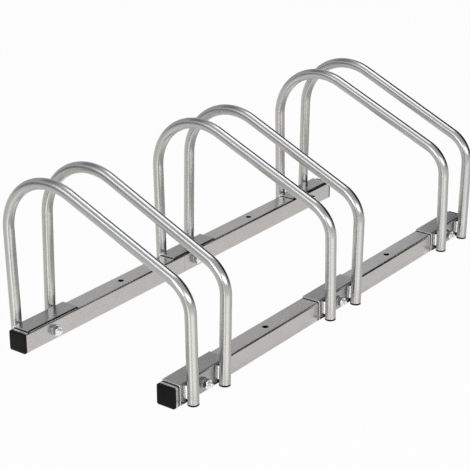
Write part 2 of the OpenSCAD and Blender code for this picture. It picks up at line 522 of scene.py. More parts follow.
def hole_tool(radius: float, place: Point, axis: Axis, length: float) -> Workpiece:
    """Make the rod that cuts a round hole.

    Args:
        radius: Radius of the hole.
        place: Middle of the rod.
        axis: The axis that the rod lies along, Y or Z.
        length: Its length.

    Returns:
        The rod.
    """
    rod = Workpiece.rod("hole_tool", radius, length, HOLE_SIDES)
    centre = Matrix.Translation(Vector((0, 0, -length / 2)))
    return rod.place(Matrix.Translation(place) @ ROD_TURNS[axis].to_matrix().to_4x4() @ centre)


@dataclass(frozen=True)
class Ribs:
    """The ribs round a plug, which hold it in its tube."""

    count: int
    width: float
    slope: float = 0.1 * MM

    def outline(self, core: float, rib: float, length: float) -> Outline:
        """List the sizes of the plug from its seat to its last rib.

        Args:
            core: Size of the plug between its ribs.
            rib: Size of the plug at a rib.
            length: Length of the plug.

        Returns:
            Pairs of a size and its depth from the seat.
        """
        gap = length / (self.count + 1)
        half = self.width / 2
        places = [(core, 0.0)]
        for number in range(1, self.count + 1):
            places += [
                (core, number * gap - half),
                (rib, number * gap - half + self.slope),
                (rib, number * gap + half - self.slope),
                (core, number * gap + half),
            ]
        return places


def draw_plug(seat: Sequence[float], axis: Axis, sign: int, size: float, outline: Outline) -> None:
    """Draw the selected face out into a plug, in edit mode.

    Args:
        seat: Middle of the face.
        axis: The axis that the plug grows along.
        sign: Sign of its growth along that axis.
        size: Size of the face.
        outline: Pairs of a size and its depth from the seat.
    """
    last = seat[axis.value]
    for wanted, depth in outline:
        target = list(seat)
        target[axis.value] += sign * depth
        move = [0.0, 0.0, 0.0]
        move[axis.value] = target[axis.value] - last
        extrude(move)
        share = [wanted / size] * 3
        share[axis.value] = 1.0
        resize(share, target)
        size = wanted
        last = target[axis.value]


class Wire:
    """A number that a shader works out. Sums with wires add their Math nodes."""

    def __init__(self, graph: "Graph", socket: bpy.types.NodeSocket) -> None:
        """Hold an output socket of a graph."""
        self.graph = graph
        self.socket = socket

    def _sum(self, operation: str, first: object, second: object) -> "Wire":
        """Add a Math node for two values."""
        node = self.graph.add("ShaderNodeMath", {"operation": operation}, {0: first, 1: second})
        return Wire(self.graph, node.outputs[0])

    def __add__(self, other: object) -> "Wire":
        """Add a value."""
        return self._sum("ADD", self, other)

    def __radd__(self, other: object) -> "Wire":
        """Add to a value."""
        return self._sum("ADD", other, self)

    def __sub__(self, other: object) -> "Wire":
        """Take a value away."""
        return self._sum("SUBTRACT", self, other)

    def __rsub__(self, other: object) -> "Wire":
        """Take from a value."""
        return self._sum("SUBTRACT", other, self)

    def __mul__(self, other: object) -> "Wire":
        """Multiply by a value."""
        return self._sum("MULTIPLY", self, other)

    def __rmul__(self, other: object) -> "Wire":
        """Multiply a value."""
        return self._sum("MULTIPLY", other, self)

    def __abs__(self) -> "Wire":
        """Drop the sign."""
        return self._sum("ABSOLUTE", self, 0.0)

    def least(self, other: object) -> "Wire":
        """Take the smaller of two values."""
        return self._sum("MINIMUM", self, other)

    def fit(self, low: float, high: float) -> "Wire":
        """Map a range of the value onto 0 to 1, and clamp it there."""
        node = self.graph.add("ShaderNodeMapRange", {"clamp": True}, {0: self, 1: low, 2: high})
        return Wire(self.graph, node.outputs[0])


@dataclass(frozen=True)
class Pattern:
    """A cloudy pattern: clouds per metre, their finer layers, and the range of values that shows."""

    scale: float
    detail: float
    rough: float
    shown: tuple[float, float] = (0.0, 1.0)


class Graph:
    """The nodes of one material or of the world."""

    def __init__(self, owner: bpy.types.Material | bpy.types.World) -> None:
        """Empty the owner's node tree.

        Args:
            owner: The material or world.
        """
        owner.use_nodes = True
        self.tree = owner.node_tree
        self.tree.nodes.clear()

    def add(
        self,
        kind: str,
        settings: dict[str, object] | None = None,
        sockets: dict[int | str, object] | None = None,
    ) -> bpy.types.Node:
        """Add a node, set it and feed its sockets.

        Args:
            kind: Type of the node.
            settings: Its own settings, such as a Math node's operation.
            sockets: Values or links of its input sockets.

        Returns:
            The node.
        """
        node = self.tree.nodes.new(kind)
        for key, value in (settings or {}).items():
            setattr(node, key, value)
        for key, value in (sockets or {}).items():
            if isinstance(value, Wire):
                self.tree.links.new(value.socket, node.inputs[key])
            elif isinstance(value, bpy.types.NodeSocket):
                self.tree.links.new(value, node.inputs[key])
            else:
                node.inputs[key].default_value = value
        return node

    def coordinates(
        self,
        attribute: str | None = None,
        stretch: tuple[float, float, float] = UNSTRETCHED,
    ) -> bpy.types.NodeSocket:
        """Give the surface's own coordinates, stretched.

        Args:
            attribute: Name of the piece's own coordinates, or None for its place in the stand.
            stretch: Stretch along each axis.

        Returns:
            The vector socket.
        """
        if attribute:
            source = self.add("ShaderNodeAttribute", {"attribute_name": attribute}).outputs["Vector"]
        else:
            source = self.add("ShaderNodeTexCoord").outputs["Object"]
        return self.add("ShaderNodeMapping", None, {"Vector": source, "Scale": stretch}).outputs[0]

    def split(self, vector: bpy.types.NodeSocket) -> list[Wire]:
        """Give the X, Y and Z of a vector."""
        return [Wire(self, part) for part in self.add("ShaderNodeSeparateXYZ", None, {0: vector}).outputs]

    def marked(self, name: str) -> Wire:
        """Give the number that a piece stores at its points or faces."""
        return Wire(self, self.add("ShaderNodeAttribute", {"attribute_name": name}).outputs["Fac"])

    def noise(self, vector: bpy.types.NodeSocket, pattern: Pattern) -> Wire:
        """Give a cloudy pattern around one half.

        Args:
            vector: Where it is read.
            pattern: Its clouds.

        Returns:
            The pattern's value.
        """
        sockets = {
            "Vector": vector,
            "Scale": pattern.scale,
            "Detail": pattern.detail,
            "Roughness": pattern.rough,
        }
        return Wire(self, self.add("ShaderNodeTexNoise", None, sockets).outputs[0])

    def clouds(self, vector: bpy.types.NodeSocket, pattern: Pattern) -> Wire:
        """Give a cloudy pattern from 0 to 1, over the range of its values that shows."""
        return self.noise(vector, pattern).fit(*pattern.shown)

    def blend(self, share: Wire, first: object, second: object) -> bpy.types.NodeSocket:
        """Mix two colours, by the share of the second."""
        node = self.add("ShaderNodeMix", {"data_type": "RGBA"}, {"Factor": share, 6: first, 7: second})
        return node.outputs[2]

    def bump(self, height: Wire, strength: float, distance: float) -> bpy.types.NodeSocket:
        """Turn a height into a normal, where a value of one stands for a distance in metres."""
        sockets = {"Strength": strength, "Distance": distance, "Height": height}
        return self.add("ShaderNodeBump", None, sockets).outputs[0]

    def glow(self, colour: object, strength: float) -> bpy.types.NodeSocket:
        """Give a surface that shines by itself."""
        return self.add("ShaderNodeEmission", None, {"Color": colour, "Strength": strength}).outputs[0]

    def either(self, share: Wire, first: object, second: object) -> bpy.types.NodeSocket:
        """Mix two surfaces, by the share of the second."""
        return self.add("ShaderNodeMixShader", None, {0: share, 1: first, 2: second}).outputs[0]

    def rays(self) -> tuple[Wire, Wire]:
        """Tell apart the rays that reach a surface or the world.

        Returns:
            Whether the eye sees it, and whether metal or glass shows it.
        """
        paths = self.add("ShaderNodeLightPath").outputs
        mirrored = Wire(self, paths["Is Glossy Ray"]) + Wire(self, paths["Is Transmission Ray"])
        return Wire(self, paths["Is Camera Ray"]), mirrored

    def surface(self, sockets: dict[str, object]) -> None:
        """Close the material with its shader."""
        self.close(self.add("ShaderNodeBsdfPrincipled", None, sockets).outputs[0])

    def close(self, shader: bpy.types.NodeSocket) -> None:
        """Close the material with a surface."""
        self.add("ShaderNodeOutputMaterial", None, {"Surface": shader})


def opaque(colour: Colour) -> tuple[float, float, float, float]:
    """Add full cover to a colour."""
    return (*colour, 1.0)


def shaded(colour: Colour, share: float) -> Colour:
    """Darken a colour to a share of it."""
    return tuple(share * part for part in colour)


LINES = Pattern(scale=900.0, detail=3.0, rough=0.6, shown=(0.35, 0.65))
BLOOM = Pattern(scale=26.0, detail=2.0, rough=0.5, shown=(0.3, 0.7))
SPOTS = Pattern(scale=450.0, detail=3.0, rough=0.6, shown=(0.52, 0.66))


@dataclass(frozen=True)
class Finish:
    """A surface of the stand, made of shader nodes."""

    name: str

    def make(self) -> bpy.types.Material:
        """Build the material.

        Returns:
            The material.
        """
        material = bpy.data.materials.new(self.name)
        self._lay(Graph(material))
        return material

    def _lay(self, graph: Graph) -> None:
        """Lay the finish, which each kind of finish does in its own way."""
        raise NotImplementedError


@dataclass(frozen=True)
class ZincPlate(Finish):
    """Zinc-plated steel, with lines left by its making, a cloudy plated bloom, and painted shade and
    painted highlights where a piece marks them.
    """

    tint: Colour
    cloud_tint: Colour
    roughness: float
    roughness_swing: float
    line_stretch: tuple[float, float, float] = (0.03, 1.0, 1.0)
    lines: Pattern = LINES
    line_height: float = 0.007 * MM
    line_sheen: tuple[float, float] = (0.3, 0.7)
    line_swing: float = 0.5
    bloom: Pattern = BLOOM
    bloom_share: float = 0.6
    spots: Pattern = SPOTS
    speckle: float = 0.2
    spot_shade: float = 0.5
    spot_roughness: float = 0.3
    spot_height: float = 2.0
    # Near-black colour of painted shade, then the light colour and extra roughness of painted highlights
    sheared_tint: Colour = (0.02, 0.02, 0.02)
    cut_tint: Colour = (0.97, 0.97, 0.96)
    cut_roughness: float = 0.15

    def _lay(self, graph: Graph) -> None:
        """Lay the zinc on a piece without zones of its own."""
        self._dress(graph, graph.coordinates(stretch=self.line_stretch), graph.coordinates())

    def _dress(
        self,
        graph: Graph,
        along: bpy.types.NodeSocket,
        plain: bpy.types.NodeSocket,
        rough_zone: Wire | None = None,
        bracket_shade: Wire | None = None,
    ) -> None:
        """Lay the zinc over the surface.

        Args:
            graph: The material's nodes.
            along: Coordinates stretched along the lines.
            plain: Coordinates of the bloom and spots.
            rough_zone: Where the spots gather, or None for everywhere.
            bracket_shade: Where a painted shadow lies beside the brackets' ends, or None for nowhere.
        """
        lines = graph.noise(along, self.lines)
        bloom = graph.clouds(plain, self.bloom)
        spots = graph.clouds(plain, self.spots) * self.speckle
        if rough_zone is not None:
            spots = spots * rough_zone
        # Painted shade: near-black where a piece marks shade, and beside the brackets' ends on the rails
        painted_shade = graph.marked(PAINTED_SHADE_MARK)
        if bracket_shade is not None:
            painted_shade = painted_shade + bracket_shade
        # Painted highlight: cut holds where a piece marks a highlight, which is painted light and made a
        # little rougher
        cut = graph.marked(PAINTED_HIGHLIGHT_MARK)
        share = bloom * self.bloom_share + lines.fit(*self.lines.shown) * (1 - self.bloom_share)
        colour = graph.blend(share, opaque(self.tint), opaque(self.cloud_tint))
        colour = graph.blend(spots, colour, opaque(shaded(self.tint, self.spot_shade)))
        colour = graph.blend(painted_shade, colour, opaque(self.sheared_tint))
        colour = graph.blend(cut, colour, opaque(self.cut_tint))
        sheen = lines.fit(*self.line_sheen) * (self.roughness_swing * self.line_swing)
        roughness = bloom * self.roughness_swing + sheen + self.roughness
        graph.surface(
            {
                "Base Color": colour,
                "Metallic": 1.0,
                "Roughness": roughness + spots * self.spot_roughness + cut * self.cut_roughness,
                "Normal": graph.bump(lines + spots * self.spot_height, 1.0, self.line_height),
            }
        )


@dataclass(frozen=True)
class RailZinc(ZincPlate):
    """Zinc on the rails, with a painted shadow along the ends of the brackets."""

    bracket_ends: tuple[float, ...] = ()
    unshaded_y: float = 0.0
    bare_margin: tuple[float, float] = (0.4 * MM, 1.0 * MM)
    # Width and darkness of the painted shadow beside each bracket's end
    grime_width: float = 3.0 * MM
    grime_depth: float = 0.9

    def _lay(self, graph: Graph) -> None:
        """Lay the zinc, with a painted shadow along the brackets' ends on all but the rails' inner sides.

        Args:
            graph: The material's nodes.
        """
        plain = graph.coordinates()
        x, y, _ = graph.split(plain)
        nearest = abs(x - self.bracket_ends[0])
        for end in self.bracket_ends[1:]:
            nearest = nearest.least(abs(x - end))
        shaded_side = abs(y).fit(*(self.unshaded_y + margin for margin in self.bare_margin))
        # A painted shadow beside each bracket's end, left off the rails' inner faces
        bracket_shade = nearest.fit(self.grime_width, self.grime_width / 2) * shaded_side * self.grime_depth
        self._dress(graph, graph.coordinates(stretch=self.line_stretch), plain, bracket_shade=bracket_shade)


@dataclass(frozen=True)
class TubeZinc(ZincPlate):
    """Zinc on ground round tube, whose grinding lines run round it and whose leg ends are speckled."""

    tube_length: float = 0.0
    speckled: tuple[float, float] = (24.0 * MM, 14.4 * MM)

    def _lay(self, graph: Graph) -> None:
        """Lay the zinc, with its spots at both ends of the tube.

        Args:
            graph: The material's nodes.
        """
        along = graph.coordinates(ALONG_TUBE, self.line_stretch)
        plain = graph.coordinates(ALONG_TUBE)
        from_end = graph.split(plain)[0]
        rough_zone = from_end.fit(*self.speckled) + (self.tube_length - from_end).fit(*self.speckled)
        self._dress(graph, along, plain, rough_zone)


@dataclass(frozen=True)
class WeldMetal(Finish):
    """Plated weld metal, bright on its crests and dull in its folds."""

    tint: Colour
    fold_tint: Colour
    roughness: float
    roughness_swing: float = 0.16
    folds: Pattern = Pattern(scale=320.0, detail=3.0, rough=0.6, shown=(0.35, 0.65))
    pits: Pattern = Pattern(scale=1900.0, detail=2.0, rough=0.6)
    pit_share: float = 0.4
    depth: float = 0.15 * MM
    depth_shown: float = 0.6

    def _lay(self, graph: Graph) -> None:
        """Lay the weld metal.

        Args:
            graph: The material's nodes.
        """
        plain = graph.coordinates()
        folds = graph.clouds(plain, self.folds)
        height = folds * (1 - self.pit_share) + graph.noise(plain, self.pits) * self.pit_share
        graph.surface(
            {
                "Base Color": graph.blend(folds, opaque(self.tint), opaque(self.fold_tint)),
                "Metallic": 1.0,
                "Roughness": folds * self.roughness_swing + self.roughness,
                "Normal": graph.bump(height, self.depth_shown, self.depth),
            }
        )


@dataclass(frozen=True)
class MouldedPlastic(Finish):
    """Black moulded plastic with a fine spark-eroded grain and a little dust."""

    tint: Colour
    dust_tint: Colour
    roughness: float
    gloss: float
    grain: Pattern = Pattern(scale=2600.0, detail=2.0, rough=0.5)
    grain_roughness: float = 0.1
    grain_depth: float = 0.06 * MM
    grain_shown: float = 0.3
    dust: Pattern = Pattern(scale=90.0, detail=4.0, rough=0.6, shown=(0.42, 0.72))
    dust_roughness: float = 0.14

    def _lay(self, graph: Graph) -> None:
        """Lay the plastic.

        Args:
            graph: The material's nodes.
        """
        plain = graph.coordinates()
        grain = graph.noise(plain, self.grain)
        dust = graph.clouds(plain, self.dust)
        graph.surface(
            {
                "Base Color": graph.blend(dust, opaque(self.tint), opaque(self.dust_tint)),
                "Specular IOR Level": self.gloss,
                "Roughness": dust * self.dust_roughness + grain * self.grain_roughness + self.roughness,
                "Normal": graph.bump(grain, self.grain_shown, self.grain_depth),
            }
        )


@dataclass
class Finishes:
    """All the surfaces of the stand."""

    tube_length: float
    rail: bpy.types.Material = field(init=False)
    bracket: bpy.types.Material = field(init=False)
    hoop: bpy.types.Material = field(init=False)
    weld: bpy.types.Material = field(init=False)
    fastener: bpy.types.Material = field(init=False)
    cap: bpy.types.Material = field(init=False)
    foot: bpy.types.Material = field(init=False)

    def __post_init__(self) -> None:
        """Build every material once."""
        brackets = [read_box(f"{bay.word}_bay_front_bracket") for bay in Bay]
        self.rail = RailZinc(
            "rail_zinc",
            tint=(0.572, 0.56, 0.554),
            cloud_tint=(0.617, 0.605, 0.598),
            roughness=0.18,
            roughness_swing=0.08,
            bracket_ends=tuple(corner.x for box in brackets for corner in box),
            unshaded_y=abs(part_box("front_rail_left")[1].y),
        ).make()
        self.bracket = ZincPlate(
            "bracket_zinc",
            tint=(0.41, 0.41, 0.405),
            cloud_tint=(0.46, 0.46, 0.455),
            roughness=0.17,
            roughness_swing=0.07,
            bloom=replace(BLOOM, scale=40.0),
        ).make()
        self.hoop = TubeZinc(
            "hoop_zinc",
            tint=(0.437, 0.437, 0.43),
            cloud_tint=(0.48, 0.48, 0.473),
            roughness=0.21,
            roughness_swing=0.04,
            line_stretch=(0.006, 1.0, 1.0),
            lines=replace(LINES, scale=800.0, detail=1.0),
            line_height=0.0012 * MM,
            bloom=replace(BLOOM, scale=34.0),
            spots=replace(SPOTS, scale=1000.0),
            speckle=0.8,
            tube_length=self.tube_length,
        ).make()
        self.weld = WeldMetal(
            "weld_zinc", tint=(0.98, 0.98, 0.97), fold_tint=(0.88, 0.88, 0.87), roughness=0.24
        ).make()
        self.fastener = ZincPlate(
            "fastener_zinc",
            tint=(0.86, 0.87, 0.88),
            cloud_tint=(0.95, 0.96, 0.97),
            roughness=0.13,
            roughness_swing=0.08,
            line_stretch=UNSTRETCHED,
            line_height=0.003 * MM,
            bloom=replace(BLOOM, scale=160.0),
            speckle=0.15,
        ).make()
        self.cap = MouldedPlastic(
            "cap_plastic",
            tint=(0.0025, 0.0025, 0.0025),
            dust_tint=(0.006, 0.006, 0.0058),
            roughness=0.38,
            gloss=0.12,
        ).make()
        self.foot = MouldedPlastic(
            "foot_plastic",
            tint=(0.002, 0.002, 0.002),
            dust_tint=(0.004, 0.004, 0.004),
            roughness=0.5,
            gloss=0.1,
        ).make()


@dataclass
class Rails:
    """The four rail halves, each a square tube with its holes."""

    sizes: StandSizes = SIZES
    corner_steps: int = 6
    edge_round: float = 0.22 * MM
    seam_gap: float = 0.4 * MM

    def build(self, finishes: Finishes) -> None:
        """Build and dress the rail halves.

        Args:
            finishes: The stand's surfaces.
        """
        for row in Row:
            for side, half in ((Side.LEFT, self._left), (Side.RIGHT, self._right)):
                node = f"{row.word}_rail_{side.word}"
                half(node, row).finish(finishes.rail, "rail_steel", [node])

    def _shell(self, node: str, low: Vector, high: Vector) -> Workpiece:
        """Make the open shell of a square tube with round corners.

        Args:
            node: The construction node that it stands for.
            low: Lowest corner of the tube.
            high: Highest corner of the tube.

        Returns:
            The shell.
        """
        corner = self.sizes.rail_corner
        shell = Workpiece.block(f"{node}_tube", low, high)
        with shell.editing():
            shell.pick(Part.EDGES, lambda e: abs((e.verts[0].co - e.verts[1].co).x) > corner)
            bpy.ops.mesh.bevel(offset=corner, segments=self.corner_steps, affect="EDGES")
            shell.pick(Part.FACES, lambda f: abs(f.normal.x) > FACING)
            bpy.ops.mesh.delete(type="FACE")
        return shell

    def _drill(self, tube: Workpiece, low: Vector, high: Vector, bolts: tuple[float, float]) -> Workpiece:
        """Give a tube its wall and its holes, and round the edges.

        Args:
            tube: The open shell.
            low: Lowest corner of the rail.
            high: Highest corner of the rail.
            bolts: Places of the bolt holes along X, with the floor hole midway.

        Returns:
            The tube.
        """
        tube.thicken(self.sizes.rail_wall)
        centre = (low + high) / 2
        reach = 2 * (high.z - low.z)
        for x in bolts:
            place = Vector((x, centre.y, centre.z))
            tube.cut(hole_tool(self.sizes.bolt_hole_r, place, Axis.Y, reach))
        place = Vector((sum(bolts) / 2, centre.y, centre.z))
        tube.cut(hole_tool(self.sizes.floor_hole_r, place, Axis.Z, reach))
        return tube.face_outwards().soften(self.edge_round).smooth()

    def _left(self, node: str, row: Row) -> Workpiece:
        """Make a left half, whose end steps down to slide into the right half.

        Args:
            node: The construction node that it stands for.
            row: The rail that it belongs to.

        Returns:
            The left half.
        """
        low, high = read_box(node)
        end = read_box(f"{row.word}_rail_right")[0].x - self.seam_gap
        tube = self._shell(node, low, Vector((end, high.y, high.z)))
        centre = (low + high) / 2
        share = 1 - 2 * (self.sizes.rail_wall + self.sizes.spigot_clearance) / (high.z - low.z)
        with tube.editing():
            tube.pick(Part.VERTS, lambda v: v.co.x > end - self.edge_round)
            bpy.ops.mesh.select_mode(type="EDGE")
            extrude()
            resize((1, share, share), (end, centre.y, centre.z))
            extrude((high.x - end, 0, 0))
        return self._drill(tube, low, high, (bay_x(Bay.LEFT, row), bay_x(Bay.MIDDLE, row)))

    def _right(self, node: str, row: Row) -> Workpiece:
        """Make a right half, a plain tube.

        Args:
            node: The construction node that it stands for.
            row: The rail that it belongs to.

        Returns:
            The right half.
        """
        low, high = read_box(node)
        tube = self._shell(node, low, high)
        return self._drill(tube, low, high, (bay_x(Bay.MIDDLE, row), bay_x(Bay.RIGHT, row)))


@dataclass
class Brackets:
    """The six angle brackets."""

    sizes: StandSizes = SIZES
    bend_steps: int = 8
    edge_round: float = 0.3 * MM
    # Width of the painted highlight on each end of a bracket
    bright_end: float = 0.25 * MM

    def build(self, finishes: Finishes) -> None:
        """Build and dress the brackets.

        Args:
            finishes: The stand's surfaces.
        """
        for bay in Bay:
            for row in Row:
                node = f"{bay.word}_bay_{row.word}_bracket"
                self._angle(node, row).finish(finishes.bracket, "bracket_steel", [node])

    def _angle(self, node: str, row: Row) -> Workpiece:
        """Bend one bracket, drill it, and mark a painted shadow along its free edge and a painted highlight
        on its ends.

        Args:
            node: The construction node that it stands for.
            row: The rail that it sits on.

        Returns:
            The bracket.
        """
        low, high = read_box(node)
        face_y, free_y = (high.y, low.y) if row is Row.BACK else (low.y, high.y)
        angle = self._bent_sheet(node, low, high, row).thicken(self.sizes.bracket_sheet)
        place = Vector(((low + high).x / 2, face_y, middle_of("front_rail_left").z))
        reach = 6 * self.sizes.bracket_sheet
        angle.cut(hole_tool(self.sizes.bolt_hole_r, place, Axis.Y, reach))
        angle.face_outwards().soften(self.edge_round).smooth()
        # A painted shadow along the free edge, where the bracket meets the rail's corner
        angle.mark(PAINTED_SHADE_MARK, lambda at: max(0.0, 1 - abs(at.y - free_y) / self.edge_round))
        # A painted highlight on both ends of the bracket, which are also made rougher
        ends = (low.x, high.x)
        return angle.mark(
            PAINTED_HIGHLIGHT_MARK, lambda at: max(0.0, 1 - min(abs(at.x - x) for x in ends) / self.bright_end)
        )

    def _bent_sheet(self, node: str, low: Vector, high: Vector, row: Row) -> Workpiece:
        """Bend the outer face of a bracket, from its upright flange over the rail.

        Args:
            node: The construction node that it stands for.
            low: Lowest corner of the bracket.
            high: Highest corner of the bracket.
            row: The rail that it sits on.

        Returns:
            The open face, with its front outwards.
        """
        outwards = row.value
        face_y = high.y if row is Row.BACK else low.y
        bend = self.sizes.bracket_bend
        bend_z = high.z - bend
        centre_x = (low + high).x / 2
        flat = bend_z - low.z
        middle = Vector((centre_x, face_y, low.z + flat / 2))
        face = Workpiece.sheet(f"{node}_plate", high.x - low.x, flat, middle)
        with face.editing():
            face.pick(Part.EDGES, lambda e: min(v.co.z for v in e.verts) > bend_z - MM)
            bpy.ops.mesh.spin(
                steps=self.bend_steps,
                angle=-outwards * math.pi / 2,
                center=(centre_x, face_y - outwards * bend, bend_z),
                axis=(1, 0, 0),
            )
            extrude((0, -outwards * (high.y - low.y - bend), 0))
            select_all()
            bpy.ops.mesh.remove_doubles(threshold=ABOUT)
            bpy.ops.mesh.normals_make_consistent(inside=False)
        if face.thing.data.polygons[0].normal.y * outwards < 0:
            with face.editing():
                select_all()
                bpy.ops.mesh.flip_normals()
        return face


@dataclass
class HoopLine:
    """The centre line of a hoop in its own upright plane, X being zero."""

    sizes: StandSizes = SIZES
    leg_y: float = field(init=False)
    end_z: float = field(init=False)
    tall_z: float = field(init=False)
    turn: float = field(init=False)
    tall_centre: Vector = field(init=False)
    run_length: float = field(init=False)
    run: Vector = field(init=False)
    run_end: Vector = field(init=False)
    low_centre: Vector = field(init=False)
    length: float = field(init=False)

    def __post_init__(self) -> None:
        """Work out the line from the stand's sizes."""
        s = self.sizes
        self.leg_y = abs(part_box("middle_bay_front_bracket")[0].y) + s.leg_clearance + s.tube_r
        self.end_z = s.foot_gap + s.tube_r * math.tan(s.hoop_lean) + s.foot_flange
        self.tall_z = s.hoop_height - s.tube_r - s.tall_bend_r
        self.turn = math.pi / 2 + s.run_fall
        self.tall_centre = Vector((0, self.leg_y - s.tall_bend_r, self.tall_z))
        run_start = self.tall_centre + s.tall_bend_r * self.spoke(self.turn)
        run_end_y = -self.leg_y + s.low_bend_r + s.low_bend_r * math.cos(self.turn)
        self.run_length = (run_start.y - run_end_y) / math.cos(s.run_fall)
        self.run = Vector((0, -math.cos(s.run_fall), -math.sin(s.run_fall))) * self.run_length
        self.run_end = run_start + self.run
        self.low_centre = self.run_end - s.low_bend_r * self.spoke(self.turn)
        legs = self.low_centre.z + self.tall_z - 2 * self.end_z
        bends = s.low_bend_r * (math.pi - self.turn) + s.tall_bend_r * self.turn
        self.length = legs + bends + self.run_length

    @staticmethod
    def spoke(angle: float) -> Vector:
        """Give a unit vector in the hoop's plane, at an angle from +Y."""
        return Vector((0, math.cos(angle), math.sin(angle)))

    def unrolled(self, point: Vector) -> Vector:
        """Say where a point lies on the straightened tube.

        Args:
            point: A point of the tube's surface, in the hoop's plane.

        Returns:
            Its place along the tube, across it and out of its bend.
        """
        s = self.sizes
        low_bend = s.low_bend_r * (math.pi - self.turn)
        start = self.low_centre.z - self.end_z
        from_tall = point - self.tall_centre
        from_low = point - self.low_centre
        along_run = (point - self.run_end).dot(-self.run.normalized())
        if from_low.z <= 0 and point.y < 0:
            return Vector((point.z - self.end_z, point.x, -self.leg_y - point.y))
        if from_tall.z <= 0 and point.y > 0:
            length = start + low_bend + self.run_length + s.tall_bend_r * self.turn
            return Vector((length + self.tall_z - point.z, point.x, point.y - self.leg_y))
        if along_run < 0:
            angle = math.pi - math.atan2(from_low.z, from_low.y)
            out = math.hypot(from_low.y, from_low.z) - s.low_bend_r
            return Vector((start + s.low_bend_r * angle, point.x, out))
        start += low_bend
        if along_run < self.run_length:
            out = (point - self.run_end).dot(self.spoke(self.turn))
            return Vector((start + along_run, point.x, out))
        angle = self.turn - math.atan2(from_tall.z, from_tall.y)
        out = math.hypot(from_tall.y, from_tall.z) - s.tall_bend_r
        return Vector((start + self.run_length + s.tall_bend_r * angle, point.x, out))


def hoop_place(bay: Bay, side: Side) -> Matrix:
    """Give the move from a hoop's own plane to its place in the stand, where it leans outwards."""
    x = bay_x(bay) + side.value * SIZES.hoop_spacing / 2
    return Matrix.Translation((x, 0, 0)) @ Matrix.Rotation(side.value * SIZES.hoop_lean, 4, "Y")


@dataclass
class Hoops:
    """The six hoops of bent round tube."""

    line: HoopLine
    sizes: StandSizes = SIZES
    sides: int = 48
    low_steps: int = 22
    tall_steps: int = 40
    edge_round: float = 0.25 * MM

    def build(self, finishes: Finishes) -> None:
        """Bend one tube, and place a copy of it for each hoop.

        Args:
            finishes: The stand's surfaces.
        """
        pattern = self._bent_tube()
        for bay in Bay:
            for side in Side:
                node = f"{bay.word}_bay_{side.word}_hoop"
                hoop = pattern.copy(f"{node}_tube").place(hoop_place(bay, side))
                hoop.finish(finishes.hoop, "hoop_steel", [node])
        pattern.discard()

    def _bent_tube(self) -> Workpiece:
        """Bend a hoop in its own plane, from its low leg to its tall one.

        Returns:
            The hoop.
        """
        line = self.line
        foot = Vector((0, -line.leg_y, line.end_z))
        tube = Workpiece.ring("hoop_pattern", self.sizes.tube_r, foot, self.sides)
        with tube.editing():
            select_all()
            extrude(Vector((0, 0, line.low_centre.z - line.end_z)))
            self._bend(line.low_centre, math.pi - line.turn, self.low_steps)
            extrude(-line.run)
            self._bend(line.tall_centre, line.turn, self.tall_steps)
            extrude(Vector((0, 0, line.end_z - line.tall_z)))
        tube.face_outwards().thicken(self.sizes.tube_wall).soften(self.edge_round).smooth()
        self._mark_length(tube)
        return tube

    @staticmethod
    def _bend(centre: Vector, angle: float, steps: int) -> None:
        """Draw the tube's open end round a bend towards the tall side."""
        bpy.ops.mesh.spin(steps=steps, angle=angle, center=centre, axis=(1, 0, 0))

    def _mark_length(self, tube: Workpiece) -> None:
        """Store each point's place on the straightened tube, for the grinding lines.

        Args:
            tube: The bent tube.
        """
        mesh = tube.thing.data
        marks = mesh.attributes.new(ALONG_TUBE, "FLOAT_VECTOR", "POINT")
        for vertex, mark in zip(mesh.vertices, marks.data):
            mark.vector = self.line.unrolled(vertex.co)


